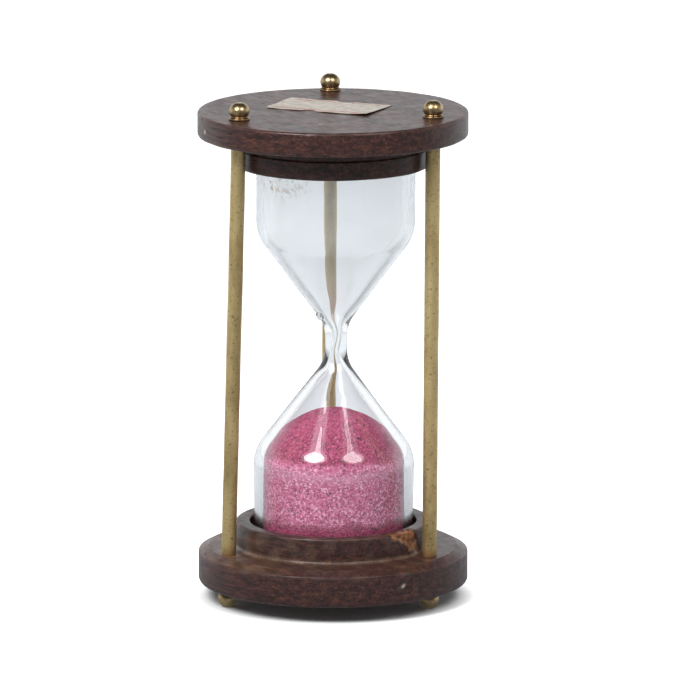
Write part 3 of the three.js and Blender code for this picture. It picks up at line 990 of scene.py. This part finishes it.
# Painted shade: the heap is darkened against the lamps' light on its top, and the foot where the
# collar shades it.
deep = 0.90 * np.clip((at[:, 2] - shoulder_line) / 1.2, 0, 1)
deep += 1.1 * np.clip((base_high[2] + 2.8 + uneven - at[:, 2]) / 1.6, 0, 1)
pale = 0.30 * np.exp(-(((at[:, 2] - shoulder_line + 2.2) / 1.5) ** 2))
marks(sand_heap, deep=deep, pale=pale)
finish_with(sand_heap, "vial", "sand", sand.material, "sand")

# %% [markdown]
# ## Felt pads
#
# A disc of brown felt lies in each recess, glued to the wood, so that the vial neither rattles
# nor chips. Almost nothing of them shows.

# %% Felt finish and pads
felt = Finish("brown_felt", Roughness=0.95, Sheen_Weight=0.4)
fuzz = felt.noise(1600, 4, 0.7)
brown = felt.ramp(fuzz, (0.35, (0.060, 0.032, 0.024)), (0.65, (0.150, 0.090, 0.066)))
felt.feed("Base Color", brown)
felt.feed("Normal", felt.relief(fuzz, 0.15))
PAD_RADIUS = RECESS_RADIUS - 0.6
for pad_node in ("felt_pad_base", "felt_pad_top"):
    pad_low, pad_high = (np.array(c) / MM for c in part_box(pad_node))
    corners = [
        (0, pad_low[2], 0),
        (PAD_RADIUS, pad_low[2], 0.15),
        (PAD_RADIUS, pad_high[2], 0.3),
        (0, pad_high[2], 0),
    ]
    pad_grid = turned_grid(rounded(corners), 120)
    pad_grid = pushed_out(pad_grid, 0.06 * ripple(pad_grid, 1.2, 71) - 0.08)
    finish_with(skin(f"{pad_node}_cut", pad_grid), "frame", "felt", felt.material, pad_node)

# %% [markdown]
# ## Paper label
#
# A scrap of cream paper printed with two thin red rules was glued on top. Its long edges are
# torn, and a corner has begun to lift. The sheet is a grid whose two long sides follow the torn
# edges, with every row in between sharing out the difference.

# %% Label finish
paper = Finish("label_paper", Roughness=0.8)
mottle = paper.noise(520, 4, 0.6)
cream = paper.ramp(mottle, (0.30, (0.41, 0.370, 0.325)), (0.70, (0.60, 0.560, 0.505)))
fibre = paper.ramp(paper.noise(3200, 2, 0.6), (0.62, 0.0), (0.75, 0.5))
speckled = paper.blend(fibre, cream, (0.30, 0.22, 0.15))
ruled = paper.blend(paper.own("rules"), speckled, (0.42, 0.055, 0.045))
# The label is darker along its long torn edges.
soiled = paper.blend(paper.own("soil"), ruled, (0.30, 0.205, 0.125))
paper.feed("Base Color", soiled)
paper.feed("Normal", paper.relief(mottle, 0.05))

# %% Paper label
LABEL = {"length": 30.3, "width": 17.5, "x": -1.1, "y": 5.5, "turn": math.radians(-24)}
half_length = LABEL["length"] / 2
u = np.linspace(-half_length, half_length, 150)
rough = 0.06 * ripple(np.stack([u, 0 * u, 0 * u], axis=1), 1.3, 81)
front_edge = -LABEL["width"] / 2 + rough * 0.5
front_edge += np.sqrt(np.maximum(0, 2.0**2 - (u + 2.2) ** 2)) * 0.75
back_edge = LABEL["width"] / 2 + rough[::-1] * 0.5
back_edge -= np.sqrt(np.maximum(0, 2.6**2 - (u - 1.5) ** 2)) * 0.45
v = np.linspace(0, 1, 70)[:, None]
across = front_edge + (back_edge - front_edge) * v
lift = 0.38 * np.clip((u / half_length) ** 3 * (1 - v) ** 1.5 * 1.2, 0, None)
flat_sheet = np.stack([u + 0 * v, across, 0 * across], axis=2)
lift += 0.16 * np.clip(-u / half_length, 0, 1) ** 6 + 0.05 * (1 + ripple(flat_sheet, 7, 82))
turn_c, turn_s = math.cos(LABEL["turn"]), math.sin(LABEL["turn"])
sheet = np.stack(
    [
        LABEL["x"] + u * turn_c - across * turn_s,
        LABEL["y"] + u * turn_s + across * turn_c,
        top_high[2] + 0.02 + lift,
    ],
    axis=2,
)
rows, columns = sheet.shape[:2]
number = np.arange(rows * columns).reshape(rows, columns)
quads = np.stack([number[:-1, :-1], number[:-1, 1:], number[1:, 1:], number[1:, :-1]], axis=2)
label_mesh = bpy.data.meshes.new("paper_label_sheet")
label_mesh.from_pydata((sheet.reshape(-1, 3) * MM).tolist(), [], quads.reshape(-1, 4).tolist())
label_mesh.polygons.foreach_set("use_smooth", np.ones(len(label_mesh.polygons), bool))
label = bpy.data.objects.new("paper_label_sheet", label_mesh)
scene.collection.objects.link(label)
from_rule = np.abs(np.abs(across) - (LABEL["width"] / 2 - 2.1))
front_rule = (across < 0) & (np.abs(u + 0.6) < 13.2)
back_rule = (across > 0) & (np.abs(u) < 12.5) & (np.abs(u - 1.5) > 2.6)
rules = (from_rule < 0.34) * (front_rule | back_rule) * (0.8 + 0.15 * ripple(sheet, 2, 83))
# Darker along the long torn edges.
margin = np.minimum(across - front_edge, back_edge - across)
soil = np.exp(-((margin / 0.25) ** 2)) * 0.6 + 0.0 * u
marks(label, rules=rules.ravel(), soil=soil.ravel())
thickness = label.modifiers.new("paper_thickness", "SOLIDIFY")
thickness.thickness = 0.12 * MM
thickness.offset = 1
finish_with(label, "frame", "paper", paper.material, "paper_label")

# %% [markdown]
# ## Studio
#
# The hourglass stands on a white sweep, under two soft boxes: a strong one high on the left and
# a weaker one high on the right, each a bright disc with a dim rim. The sweep glows away from the
# object, as it does when it is lit from behind, and the room above the camera is dark. That
# darkness is what draws the brass and the shoulders of the glass.

# %% White floor
floor_mesh = bpy.data.meshes.new("floor")
floor_mesh.from_pydata([(-4, -4, 0), (4, -4, 0), (4, 4, 0), (-4, 4, 0)], [], [(0, 1, 2, 3)])
floor = bpy.data.objects.new("floor", floor_mesh)
scene.collection.objects.link(floor)
white = Finish("white_sweep", Roughness=0.9, Specular_IOR_Level=0.0)
seen = white.add("ShaderNodeLightPath").outputs["Is Camera Ray"]
reach = white.add("ShaderNodeVectorMath", {0: white.place}, operation="LENGTH").outputs["Value"]
open_glow = white.add(
    "ShaderNodeMapRange",
    {"Value": reach, "From Min": 0.033, "From Max": 0.043, "To Min": 0.0, "To Max": 0.95},
    interpolation_type="SMOOTHSTEP",
).outputs[0]
floor_y = white.add("ShaderNodeSeparateXYZ", {"Vector": white.place}).outputs["Y"]
back_glow = white.add(
    "ShaderNodeMapRange",
    {"Value": floor_y, "From Min": -0.02, "From Max": 0.26, "To Min": 0.10, "To Max": 0.76},
    interpolation_type="SMOOTHSTEP",
).outputs[0]
glow = white.add("ShaderNodeMix", {0: seen, 2: back_glow, 3: open_glow}).outputs[0]
white.feed("Emission Strength", glow)
white.feed("Emission Color", white.blend(seen, (0.92, 0.96, 1.0), (1.0, 1.0, 1.0)))
white.feed("Base Color", white.blend(seen, (0.36, 0.38, 0.40), (0.86, 0.87, 0.88)))
floor_mesh.materials.append(white.material)

# %% Room light
world = bpy.data.worlds.new("studio")
scene.world = world
world.use_nodes = True
room = world.node_tree
direction = room.nodes.new("ShaderNodeTexCoord").outputs["Generated"]
split = room.nodes.new("ShaderNodeSeparateXYZ")
room.links.new(direction, split.inputs[0])
low_down = room.nodes.new("ShaderNodeMapRange")
low_down.interpolation_type = "SMOOTHSTEP"
room.links.new(split.outputs["Z"], low_down.inputs["Value"])
for key, value in {"From Min": 0.25, "From Max": 0.65, "To Min": 1.0, "To Max": 0.0}.items():
    low_down.inputs[key].default_value = value
behind = room.nodes.new("ShaderNodeMapRange")
behind.interpolation_type = "SMOOTHSTEP"
room.links.new(split.outputs["Y"], behind.inputs["Value"])
for key, value in {"From Min": -0.70, "From Max": 0.30, "To Min": 0.10, "To Max": 1.06}.items():
    behind.inputs[key].default_value = value
band = room.nodes.new("ShaderNodeMath")
band.operation = "MULTIPLY_ADD"
room.links.new(low_down.outputs[0], band.inputs[0])
room.links.new(behind.outputs[0], band.inputs[1])
band.inputs[2].default_value = 0.06
camera_ray = room.nodes.new("ShaderNodeLightPath").outputs["Is Camera Ray"]
strength = room.nodes.new("ShaderNodeMath")
strength.operation = "MAXIMUM"
room.links.new(band.outputs[0], strength.inputs[0])
room.links.new(camera_ray, strength.inputs[1])
backdrop = room.nodes["Background"]
backdrop.inputs["Color"].default_value = (0.96, 0.98, 1.0, 1)
room.links.new(strength.outputs[0], backdrop.inputs["Strength"])


# %% Round soft boxes
def round_lamp(name, towards, distance, width, radiance):
    """A round lamp of even brightness at a distance in a direction, facing the hourglass.

    Its power is brightness times pi times its area.
    """
    data = bpy.data.lights.new(name, "AREA")
    data.shape = "DISK"
    data.size = width
    data.energy = radiance * math.pi * math.pi * width**2 / 4
    lamp = bpy.data.objects.new(name, data)
    scene.collection.objects.link(lamp)
    way = Vector(towards).normalized()
    lamp.location = Vector((0, 0, 0.07)) + way * distance
    lamp.rotation_mode = "QUATERNION"
    lamp.rotation_quaternion = way.to_track_quat("Z", "Y")
    return lamp


for side_name, side, strength_of in (("left", -1, 1.0), ("right", 1, 0.45)):
    way_up = (side * 0.43, -0.57, 0.70)
    round_lamp(f"soft_box_{side_name}", way_up, 0.95, 0.45, 13.0 * strength_of)
    round_lamp(f"soft_box_{side_name}_rim", way_up, 0.97, 0.60, 2.0 * strength_of)
scene.view_settings.view_transform = "Standard"
